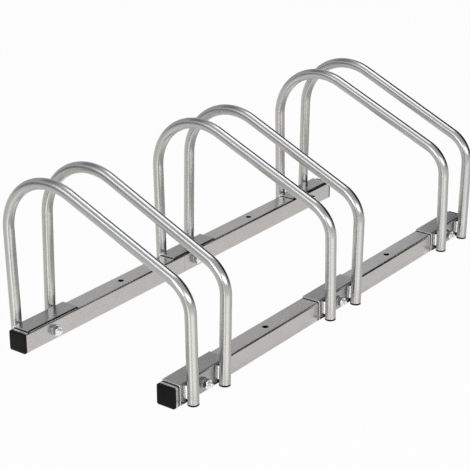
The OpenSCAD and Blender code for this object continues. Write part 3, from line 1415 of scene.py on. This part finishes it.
@dataclass
class Welds:
    """The weld beads in the grooves beside the legs."""

    line: HoopLine
    sizes: StandSizes = SIZES
    sides: int = 14
    ripple_pitch: float = 1.5 * MM
    ripple_share: float = 0.07
    rings_per_ripple: int = 4
    end_share: float = 0.45
    drift: float = 0.03
    drift_turn: float = 0.9
    leg_tool_length: float = 100.0 * MM
    sharp_angle: float = 60

    def build(self, finishes: Finishes) -> None:
        """Lay one bead, and place copies of it beside each leg.

        Args:
            finishes: The stand's surfaces.
        """
        low, high = read_box("middle_bay_front_welds")
        straight = self._bead(high.z - low.z)
        laid = {(row, flank): self._laid(straight, row, flank, low.z) for row in Row for flank in Side}
        for bay in Bay:
            for row in Row:
                node = f"{bay.word}_bay_{row.word}_welds"
                beads = [
                    laid[row, flank].copy("bead").place(hoop_place(bay, side))
                    for side in Side
                    for flank in Side
                ]
                beads[0].thing.name = f"{node}_beads"
                welds = beads[0].join(beads[1:]).face_outwards().smooth(self.sharp_angle)
                welds.finish(finishes.weld, "weld_steel", [node])
        for pattern in (straight, *laid.values()):
            pattern.discard()

    def _bead(self, length: float) -> Workpiece:
        """Lay a rippled bead upwards from the origin.

        Args:
            length: Its length.

        Returns:
            The bead.
        """
        rings = round(length / self.ripple_pitch) * self.rings_per_ripple
        step = length / rings
        bead = Workpiece.ring("bead_pattern", self.sizes.bead_r, (0, 0, 0), self.sides)
        with bead.editing():
            select_all()
            size = self._swell(0, rings)
            resize((size, size, 1), (0, 0, 0))
            bpy.ops.mesh.edge_face_add()
            for ring in range(1, rings + 1):
                wanted = self._swell(ring, rings)
                share = wanted / size
                extrude((0, 0, step))
                resize((share, share, 1), (0, 0, ring * step))
                size = wanted
        return bead.face_outwards()

    def _swell(self, ring: int, rings: int) -> float:
        """Say how wide a ring of the bead is.

        Args:
            ring: Number of the ring.
            rings: Number of the last ring.

        Returns:
            Its width as a share of the bead's radius.
        """
        ripple = 1 - self.ripple_share * (1 + math.cos(2 * math.pi * ring / self.rings_per_ripple))
        from_end = min(ring, rings - ring) / self.rings_per_ripple
        taper = min(1.0, self.end_share + (1 - self.end_share) * math.sqrt(from_end))
        return ripple * taper + self.drift * math.sin(ring * self.drift_turn)

    def _laid(self, straight: Workpiece, row: Row, flank: Side, low_z: float) -> Workpiece:
        """Lay a copy of the bead in the groove beside a leg of the hoop's own plane.

        Args:
            straight: The bead that is copied.
            row: The rail that the leg stands at.
            flank: The side of the leg.
            low_z: Height of the bead's lower end.

        Returns:
            The bead, cut to the leg and to the bracket's face.
        """
        s = self.sizes
        groove_r = s.tube_r + s.leg_clearance
        face_y = row.value * (self.line.leg_y - groove_r)
        place = (flank.value * s.bead_offset, face_y + row.value * s.bead_rise, low_z)
        bead = straight.copy("laid_bead").place(Matrix.Translation(place))
        leg = Vector((0, row.value * self.line.leg_y, low_z))
        bead.cut(hole_tool(groove_r, leg, Axis.Z, self.leg_tool_length))
        with bead.editing():
            select_all()
            bpy.ops.mesh.bisect(
                plane_co=(0, face_y, 0),
                plane_no=(0, row.value, 0),
                use_fill=True,
                clear_inner=True,
            )
        return bead.face_outwards()


@dataclass
class Fasteners:
    """The bolts, washers and nuts."""

    sizes: StandSizes = SIZES
    first_spin: float = -16.0
    bay_spin: float = 23.0
    row_spin: float = 11.0
    sharp_angle: float = 30
    hex_sides: int = 6
    blank_sides: int = 72
    corner_cut: float = 0.25 * MM
    corner_slope: float = math.radians(30)
    corner_round: float = 0.12 * MM
    corner_angle: float = 25
    core_sides: int = 32
    tip_round: float = 0.7 * MM
    tip_steps: int = 3
    # Length of the bolt's tip that is left out of the painted shade
    tip_bright: float = 1.2 * MM
    thread_stop: float = 0.9 * MM
    thread_steps: int = 28
    thread_root: float = 1.4
    thread_foot: float = 0.46
    thread_crest: float = 0.08
    washer_sides: int = 64
    washer_round: float = 0.28 * MM
    washer_steps: int = 3
    # Painted shade on the washer's face towards the nut, and on its rim and other faces
    face_dirt: float = 0.25
    rim_dirt: float = 0.6
    nut_play: float = 0.05 * MM
    nut_round: float = 0.15 * MM
    nut_angle: float = 50
    # Painted highlight on the nut's end faces, and painted shade on its sides
    nut_shine: float = 0.5
    nut_dirt: float = 0.62

    def build(self, finishes: Finishes) -> None:
        """Build one of each, and place a copy on every bolt's axis.

        Args:
            finishes: The stand's surfaces.
        """
        s = self.sizes
        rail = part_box("back_rail_left")
        grip = rail[1].y - rail[0].y + s.bracket_sheet
        self._repeat(self._bolt(grip), "hex_bolts", 0.0, finishes)
        self._repeat(self._washer(), "washers", grip, finishes)
        self._repeat(self._nut(), "hex_nuts", grip + s.washer_sheet, finishes)

    def _repeat(self, pattern: Workpiece, node: str, along: float, finishes: Finishes) -> None:
        """Place a copy of a fastener on each bolt's axis.

        Args:
            pattern: The fastener, upright on the origin.
            node: The construction node that the copies stand for.
            along: Their place from the head's seat.
            finishes: The stand's surfaces.
        """
        rise = Matrix.Translation((0, 0, along))
        copies = [
            pattern.copy(f"{node}_{number}").place(axis @ rise)
            for number, axis in enumerate(self._axes())
        ]
        pattern.discard()
        copies[0].thing.name = f"{node}_set"
        fasteners = copies[0].join(copies[1:]).smooth(self.sharp_angle)
        fasteners.finish(finishes.fastener, "fastener_steel", [node])

    def _axes(self) -> Iterator[Matrix]:
        """Give the bolts' places, each pointing from its head to its nut.

        Yields:
            The move from the origin to a bolt's place.
        """
        bolt_z = middle_of("front_rail_left").z
        heads = (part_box("front_rail_left")[1].y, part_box("left_bay_back_bracket")[1].y)
        lay = Matrix.Rotation(math.pi / 2, 4, "X")
        for number, bay in enumerate(Bay):
            for row, head_y in enumerate(heads):
                spin = math.radians(self.first_spin + self.bay_spin * number + self.row_spin * row)
                place = Matrix.Translation((bay_x(bay), head_y, bolt_z))
                yield place @ lay @ Matrix.Rotation(spin, 4, "Z")

    def _hexagon(self, name: str, height: float, both_ends: bool) -> Workpiece:
        """Turn a hexagonal block with cone-cut corners.

        Args:
            name: Name of the block.
            height: Its height.
            both_ends: Whether its lower corners are cut too.

        Returns:
            The block, upright on the origin.
        """
        corner_r = self.sizes.hex_flats / 2 / math.cos(math.pi / self.hex_sides)
        block = Workpiece.rod(name, corner_r, height, self.hex_sides)
        blank = Workpiece.rod("blank", corner_r, height, self.blank_sides)
        for end_z in (height, 0.0) if both_ends else (height,):
            self._cone_end(blank, corner_r, end_z)
        block.cut(blank, Keep.INSIDE).face_outwards()
        return block.soften(self.corner_round, angle=self.corner_angle)

    def _cone_end(self, blank: Workpiece, corner_r: float, end_z: float) -> None:
        """Give a rod's end a flat cone: the rim drops and a smaller flat stays.

        Args:
            blank: The rod.
            corner_r: Its radius.
            end_z: Height of the end, 0 for the lower one.
        """
        cut = corner_r - self.sizes.hex_flats / 2 + self.corner_cut
        share = (corner_r - cut) / corner_r
        flat_r = share * corner_r
        drop = cut * math.tan(self.corner_slope) * (-1 if end_z > 0 else 1)
        with blank.editing():
            blank.pick(
                Part.FACES,
                lambda f: len(f.verts) > QUAD and abs(f.calc_center_median().z - end_z) < ABOUT,
            )
            extrude()
            resize((share, share, 1), (0, 0, end_z))
            blank.pick(
                Part.VERTS,
                lambda v: abs(v.co.z - end_z) < ABOUT and math.hypot(v.co.x, v.co.y) > flat_r + ABOUT,
            )
            bpy.ops.transform.translate(value=(0, 0, drop))

    def _bolt(self, grip: float) -> Workpiece:
        """Turn a bolt whose seat lies on the origin and whose thread points up.

        Args:
            grip: What the bolt holds together.

        Returns:
            The bolt.
        """
        s = self.sizes
        length = grip + s.washer_sheet + s.nut_height + s.bolt_tail
        head = self._hexagon("bolt_head", s.head_height, both_ends=False)
        head.place(Matrix.Rotation(math.pi, 4, "X"))
        core = Workpiece.rod("bolt_core", s.bolt_r - s.thread_depth, length, self.core_sides)
        with core.editing():
            core.pick(Part.EDGES, lambda e: min(v.co.z for v in e.verts) > length - ABOUT)
            bpy.ops.mesh.bevel(offset=self.tip_round, segments=self.tip_steps, affect="EDGES")
        # The bolt's core between the thread ridges is painted in shade, all but its tip
        core.mark(PAINTED_SHADE_MARK, lambda at: 1.0 if at.z < length - self.tip_bright else 0.0)
        return head.join([core, self._thread(length - self.thread_stop)])

    def _thread(self, length: float) -> Workpiece:
        """Wind a thread's ridge upwards round the bolt.

        Args:
            length: Height that the ridge reaches.

        Returns:
            The ridge.
        """
        s = self.sizes
        root = s.bolt_r - self.thread_root * s.thread_depth
        half = self.thread_foot * s.thread_pitch
        flat = self.thread_crest * s.thread_pitch
        corners = [(root, -half), (root, half), (s.bolt_r, flat), (s.bolt_r, -flat)]
        ridge = Workpiece.ring("bolt_thread", s.thread_pitch / 2, (0, 0, 0), len(corners))
        with ridge.editing():
            mesh = bmesh.from_edit_mesh(ridge.thing.data)
            for vertex, (out, up) in zip(mesh.verts, corners):
                vertex.co = (out, 0, up + half)
            bmesh.update_edit_mesh(ridge.thing.data)
        ridge.modify(
            "SCREW",
            angle=2 * math.pi,
            screw_offset=s.thread_pitch,
            iterations=int(length / s.thread_pitch) - 1,
            steps=self.thread_steps,
            render_steps=self.thread_steps,
            axis="Z",
            use_merge_vertices=False,
        )
        with ridge.editing():
            bpy.ops.mesh.select_mode(type="EDGE")
            bpy.ops.mesh.select_non_manifold()
            bpy.ops.mesh.edge_face_add()
        return ridge.face_outwards()

    def _washer(self) -> Workpiece:
        """Stamp a washer that lies on the origin.

        Returns:
            The washer.
        """
        s = self.sizes
        washer = Workpiece.rod("washer_pattern", s.washer_r, s.washer_sheet, self.washer_sides)
        middle = Vector((0, 0, s.washer_sheet / 2))
        washer.cut(hole_tool(s.washer_hole_r, middle, Axis.Z, 3 * s.washer_sheet))
        washer.face_outwards().soften(self.washer_round, self.washer_steps)
        # Painted shade on the washer, lighter on its face towards the nut
        return washer.mark_faces(
            PAINTED_SHADE_MARK, lambda normal: self.face_dirt if normal.z > FACING else self.rim_dirt
        )

    def _nut(self) -> Workpiece:
        """Turn a nut that lies on the origin.

        Returns:
            The nut.
        """
        s = self.sizes
        nut = self._hexagon("nut_pattern", s.nut_height, both_ends=True)
        middle = Vector((0, 0, s.nut_height / 2))
        nut.cut(hole_tool(s.bolt_r + self.nut_play, middle, Axis.Z, 2 * s.nut_height))
        nut.face_outwards().soften(self.nut_round, angle=self.nut_angle)
        # A painted highlight on the nut's end faces, and painted shade on its sides
        nut.mark_faces(PAINTED_HIGHLIGHT_MARK, lambda normal: self.nut_shine if normal.z > FACING else 0.0)
        return nut.mark_faces(
            PAINTED_SHADE_MARK, lambda normal: self.nut_dirt if abs(normal.z) < SIDE_ON else 0.0
        )


@dataclass
class EndCaps:
    """The four square caps in the ends of the rails."""

    sizes: StandSizes = SIZES
    corner_steps: int = 6
    crown: float = 0.35 * MM
    crown_steps: int = 5
    rim_round: float = 1.0 * MM
    rim_steps: int = 4
    sharp_angle: float = 50
    ribs: Ribs = Ribs(count=3, width=1.6 * MM)
    rib_step: float = 1.6 * MM
    plug_play: float = 0.3 * MM
    lead_in: float = 0.6 * MM

    def build(self, finishes: Finishes) -> None:
        """Build and dress the caps.

        Args:
            finishes: The stand's surfaces.
        """
        for row in Row:
            for side in Side:
                node = f"{row.word}_{side.word}_end_cap"
                self._cap(node, side.value).finish(finishes.cap, "cap_plastic", [node])

    def _cap(self, node: str, end: int) -> Workpiece:
        """Mould one cap.

        Args:
            node: The construction node that it stands for.
            end: Sign of the rail's end along X.

        Returns:
            The cap.
        """
        low, high = read_box(node)
        outer_x, inner_x = (high.x, low.x) if end > 0 else (low.x, high.x)
        seat_x = outer_x - end * self.sizes.cap_flange
        rim_x = outer_x - end * self.crown
        centre = (low + high) / 2
        size = high.z - low.z
        cap = Workpiece.block(
            f"{node}_moulding",
            Vector((min(seat_x, rim_x), low.y, low.z)),
            Vector((max(seat_x, rim_x), high.y, high.z)),
        )
        with cap.editing():
            cap.pick(Part.EDGES, lambda e: abs((e.verts[0].co - e.verts[1].co).x) > MM)
            bpy.ops.mesh.bevel(offset=self.sizes.rail_corner, segments=self.corner_steps, affect="EDGES")
            cap.pick(Part.FACES, lambda f: f.normal.x * end > FACING)
            bpy.ops.mesh.bevel(offset=self.rim_round, segments=self.rim_steps, affect="EDGES")
            cap.pick(Part.FACES, lambda f: f.normal.x * end > SQUARE_ON)
            self._raise_crown((rim_x, centre.y, centre.z), end)
            cap.pick(Part.FACES, lambda f: f.normal.x * end < -FACING)
            outline = self._plug(size, abs(seat_x - inner_x))
            draw_plug((seat_x, centre.y, centre.z), Axis.X, -end, size, outline)
        return cap.face_outwards().smooth(self.sharp_angle)

    def _raise_crown(self, rim: Sequence[float], end: int) -> None:
        """Raise the selected face into a low crown, in edit mode.

        Args:
            rim: Middle of the face.
            end: Sign of the crown's side along X.
        """
        steps = self.crown_steps
        heights = [self.crown * (1 - (1 - step / steps) ** 2) for step in range(steps + 1)]
        for step in range(1, steps + 1):
            share = 1 - 1 / (steps + 2 - step)
            extrude()
            resize((1, share, share), rim)
            bpy.ops.transform.translate(value=(end * (heights[step] - heights[step - 1]), 0, 0))

    def _plug(self, size: float, length: float) -> Outline:
        """List the sizes of the hollow plug in the cap's back.

        Args:
            size: Width of the rail.
            length: Length of the plug.

        Returns:
            Pairs of a size and its depth from the seat.
        """
        s = self.sizes
        rib = size - 2 * s.rail_wall - self.plug_play
        core = rib - self.rib_step
        hollow = core - 2 * s.cap_wall
        outline = self.ribs.outline(core, rib, length)
        return outline + [(core - self.lead_in, length), (hollow, length), (hollow, s.cap_wall)]


@dataclass
class FootPlugs:
    """The twelve round plugs in the legs of the hoops."""

    line: HoopLine
    sizes: StandSizes = SIZES
    sides: int = 48
    ribs: Ribs = Ribs(count=3, width=1.4 * MM)
    rib_height: float = 0.6 * MM
    rib_clearance: float = 0.15 * MM
    lower_round: float = 0.35 * MM
    lower_steps: int = 3
    sharp_angle: float = 50

    def build(self, finishes: Finishes) -> None:
        """Mould one plug, and place a copy in each leg.

        Args:
            finishes: The stand's surfaces.
        """
        pattern = self._plug()
        foot_z = self.line.end_z - self.sizes.foot_flange
        for bay in Bay:
            for side in Side:
                for row in Row:
                    node = f"{bay.word}_bay_{side.word}_{row.word}_foot"
                    seat = Matrix.Translation((0, row.value * self.line.leg_y, foot_z))
                    plug = pattern.copy(f"{node}_moulding").place(hoop_place(bay, side) @ seat)
                    plug.finish(finishes.foot, "foot_plastic", [node])
        pattern.discard()

    def _plug(self) -> Workpiece:
        """Mould a plug that stands on the origin.

        Returns:
            The plug.
        """
        s = self.sizes
        rib_r = s.tube_r - s.tube_wall - self.rib_clearance
        core_r = rib_r - self.rib_height
        length = s.foot_plug_length
        outline = self.ribs.outline(core_r, rib_r, length)
        outline += [(core_r, length - self.rib_height), (core_r - self.rib_height, length)]
        plug = Workpiece.rod("foot_pattern", s.tube_r, s.foot_flange, self.sides)
        with plug.editing():
            plug.pick(Part.FACES, lambda f: f.normal.z < -FACING)
            bpy.ops.mesh.bevel(offset=self.lower_round, segments=self.lower_steps, affect="EDGES")
            plug.pick(Part.FACES, lambda f: f.normal.z > FACING)
            draw_plug((0.0, 0.0, s.foot_flange), Axis.Z, 1, s.tube_r, outline)
        return plug.face_outwards().smooth(self.sharp_angle)


@dataclass(frozen=True)
class Camera:
    """The photograph's camera, in the stand's own frame."""

    place: Vector = Vector((-1.71909, -1.24643, 0.95217))
    heading: float = math.radians(53.19)
    pitch: float = math.radians(-22.27)
    roll: float = math.radians(-0.08)
    focal_pixels: float = 1529.16
    sensor: float = 36.0
    nearest: float = 0.05
    farthest: float = 50.0

    def build(self) -> None:
        """Set the camera up."""
        data = bpy.data.cameras.new("photo_camera")
        data.sensor_width = self.sensor
        data.lens = self.focal_pixels * self.sensor / PHOTO_PIXELS
        data.clip_start = self.nearest
        data.clip_end = self.farthest
        camera = bpy.data.objects.new("photo_camera", data)
        turn = Matrix.Rotation(-self.heading, 4, "Z") @ Matrix.Rotation(math.pi / 2 + self.pitch, 4, "X")
        camera.matrix_world = Matrix.Translation(self.place) @ turn @ Matrix.Rotation(self.roll, 4, "Z")
        bpy.context.scene.collection.objects.link(camera)
        bpy.context.scene.camera = camera


@dataclass(frozen=True)
class Panel:
    """A flat lamp or card of the studio: where it is, its size and light, and what it faces."""

    name: str
    place: tuple[float, float, float]
    size: tuple[float, float]
    strength: float
    hue: Colour = WHITE
    target: tuple[float, float, float] = (0.0, 0.0, 0.1)

    def stand(self) -> Matrix:
        """Place the panel so that its front faces its target."""
        away = Vector(self.place) - Vector(self.target)
        return Matrix.Translation(self.place) @ away.to_track_quat("Z", "Y").to_matrix().to_4x4()


@dataclass
class Studio:
    """The pale satin floor, the white surroundings, the soft lamps and the cards that the metal mirrors."""

    floor_size: float = 12.0
    floor_drop: float = 0.4 * MM
    floor_tint: Colour = (0.70, 0.70, 0.70)
    paint_roughness: float = 0.9
    paint_gloss: float = 0.2
    floor_mirrored: float = 0.77
    floor_hue: Colour = (1.015, 1.0, 0.97)
    # How much darker the floor that the metal shows is painted between the rails, as a painted shadow, and
    # where that strip lies
    between_rails: float = 0.32
    strip_y: float = -0.06
    strip_reach: tuple[float, float] = (0.10, 0.05)
    floor_gloss: float = 0.3
    floor_roughness: float = 0.22
    shadow_share: float = 0.04
    sky_seen: float = 1.0
    sky_mirrored: float = 0.67
    sky_light: float = 0.5
    sky_hue: Colour = (0.99, 1.0, 1.03)
    lamps: tuple[Panel, ...] = (
        Panel("overhead", (0.55, 0.0, 2.5), (1.0, 1.5), 1.9, (0.985, 1.0, 1.05)),
        Panel("left_high", (-1.9, 0.25, 1.6), (1.7, 0.5), 2.1, target=(0.0, 0.0, 0.2)),
        Panel("left_low", (-2.0, -0.38, 0.68), (0.9, 0.7), 3.8, (1.0, 1.0, 0.96)),
        Panel("front_fill", (-0.85, -2.1, 0.95), (2.3, 0.7), 3.0),
    )
    cards: tuple[Panel, ...] = (
        Panel("right_card", (1.7, -0.5, 0.95), (2.8, 2.2), 0.01),
        Panel("back_card", (0.9, 1.7, 0.9), (2.4, 1.4), 0.57),
        Panel("far_left_card", (-1.3, 1.3, 0.4), (1.4, 0.8), 0.32),
        Panel("high_back_card", (0.1, 1.5, 2.1), (2.6, 1.1), 0.29, (0.985, 1.0, 1.06)),
    )

    def build(self) -> None:
        """Set the studio up."""
        self._floor()
        self._world()
        for panel in self.lamps:
            self._lamp(panel)
        for panel in self.cards:
            self._card(panel)
        bpy.context.scene.view_settings.view_transform = "Standard"

    def _floor(self) -> None:
        """Lay the floor just below the stand."""
        clear_bench()
        bpy.ops.mesh.primitive_plane_add(size=self.floor_size, location=(0, 0, -self.floor_drop))
        floor = bpy.context.active_object
        floor.name = "studio_floor"
        material = bpy.data.materials.new("floor_paint")
        self._paint_floor(Graph(material))
        material.cycles.emission_sampling = "NONE"
        floor.data.materials.append(material)

    def _paint_floor(self, graph: Graph) -> None:
        """Paint the floor white to the eye with a soft shadow, and duller in the metal, with a painted
        shadow between the rails.

        Args:
            graph: The floor's nodes.
        """
        seen, mirrored = graph.rays()
        paint = graph.add(
            "ShaderNodeBsdfPrincipled",
            None,
            {
                "Base Color": opaque(self.floor_tint),
                "Roughness": self.paint_roughness,
                "Specular IOR Level": self.paint_gloss,
            },
        )
        glow = graph.glow(opaque(WHITE), 1.0)
        eye = graph.either(seen * (1 - self.shadow_share), paint.outputs[0], glow)
        # A painted shadow on the floor between the rails, which only the metal shows
        shadow_strip = abs(graph.split(graph.coordinates())[Axis.Y.value] - self.strip_y).fit(*self.strip_reach)
        beside = opaque(shaded(self.floor_hue, self.floor_mirrored))
        between = opaque(shaded(self.floor_hue, self.floor_mirrored - self.between_rails))
        dull = graph.glow(graph.blend(shadow_strip, beside, between), 1.0)
        sheen = graph.add(
            "ShaderNodeBsdfAnisotropic",
            None,
            {"Color": opaque((self.floor_gloss,) * 3), "Roughness": self.floor_roughness},
        )
        satin = graph.add("ShaderNodeAddShader", None, {0: dull, 1: sheen.outputs[0]})
        graph.close(graph.either(mirrored, eye, satin.outputs[0]))

    def _world(self) -> None:
        """Surround the stand with white to the eye and softer light elsewhere."""
        world = bpy.data.worlds.new("studio_world")
        bpy.context.scene.world = world
        graph = Graph(world)
        seen, mirrored = graph.rays()
        eye = seen * (self.sky_seen - self.sky_light)
        strength = eye + mirrored * (self.sky_mirrored - self.sky_light) + self.sky_light
        hue = graph.blend(seen, opaque(self.sky_hue), opaque(WHITE))
        sky = graph.add("ShaderNodeBackground", None, {"Color": hue, "Strength": strength})
        graph.add("ShaderNodeOutputWorld", None, {"Surface": sky.outputs[0]})

    @staticmethod
    def _lamp(panel: Panel) -> None:
        """Hang a soft lamp, as bright as its panel's strength says.

        Args:
            panel: The lamp's place, size and light.
        """
        data = bpy.data.lights.new(panel.name, "AREA")
        data.shape = "RECTANGLE"
        data.size, data.size_y = panel.size
        data.energy = panel.strength * math.pi * panel.size[0] * panel.size[1]
        data.color = panel.hue
        lamp = bpy.data.objects.new(panel.name, data)
        lamp.matrix_world = panel.stand()
        lamp.visible_camera = False
        bpy.context.scene.collection.objects.link(lamp)

    @staticmethod
    def _card(panel: Panel) -> None:
        """Stand a dull card beyond the picture, which only the metal shows.

        Args:
            panel: The card's place, size and light.
        """
        clear_bench()
        bpy.ops.mesh.primitive_plane_add(size=1)
        card = bpy.context.active_object
        card.name = panel.name
        card.matrix_world = panel.stand() @ Matrix.Diagonal((*panel.size, 1, 1))
        material = bpy.data.materials.new(f"{panel.name}_paint")
        graph = Graph(material)
        graph.close(graph.glow(opaque(panel.hue), panel.strength))
        material.cycles.emission_sampling = "NONE"
        card.data.materials.append(material)
        card.visible_camera = False
        card.visible_shadow = False
        card.visible_diffuse = False


def main() -> None:
    """Build the camera, the stand's pieces and the studio."""
    logging.basicConfig(level=logging.INFO, format="%(name)s %(message)s")
    Camera().build()
    line = HoopLine()
    finishes = Finishes(line.length)
    Rails().build(finishes)
    Brackets().build(finishes)
    Hoops(line).build(finishes)
    Welds(line).build(finishes)
    Fasteners().build(finishes)
    EndCaps().build(finishes)
    FootPlugs(line).build(finishes)
    Studio().build()


if __name__ == "__main__":
    main()
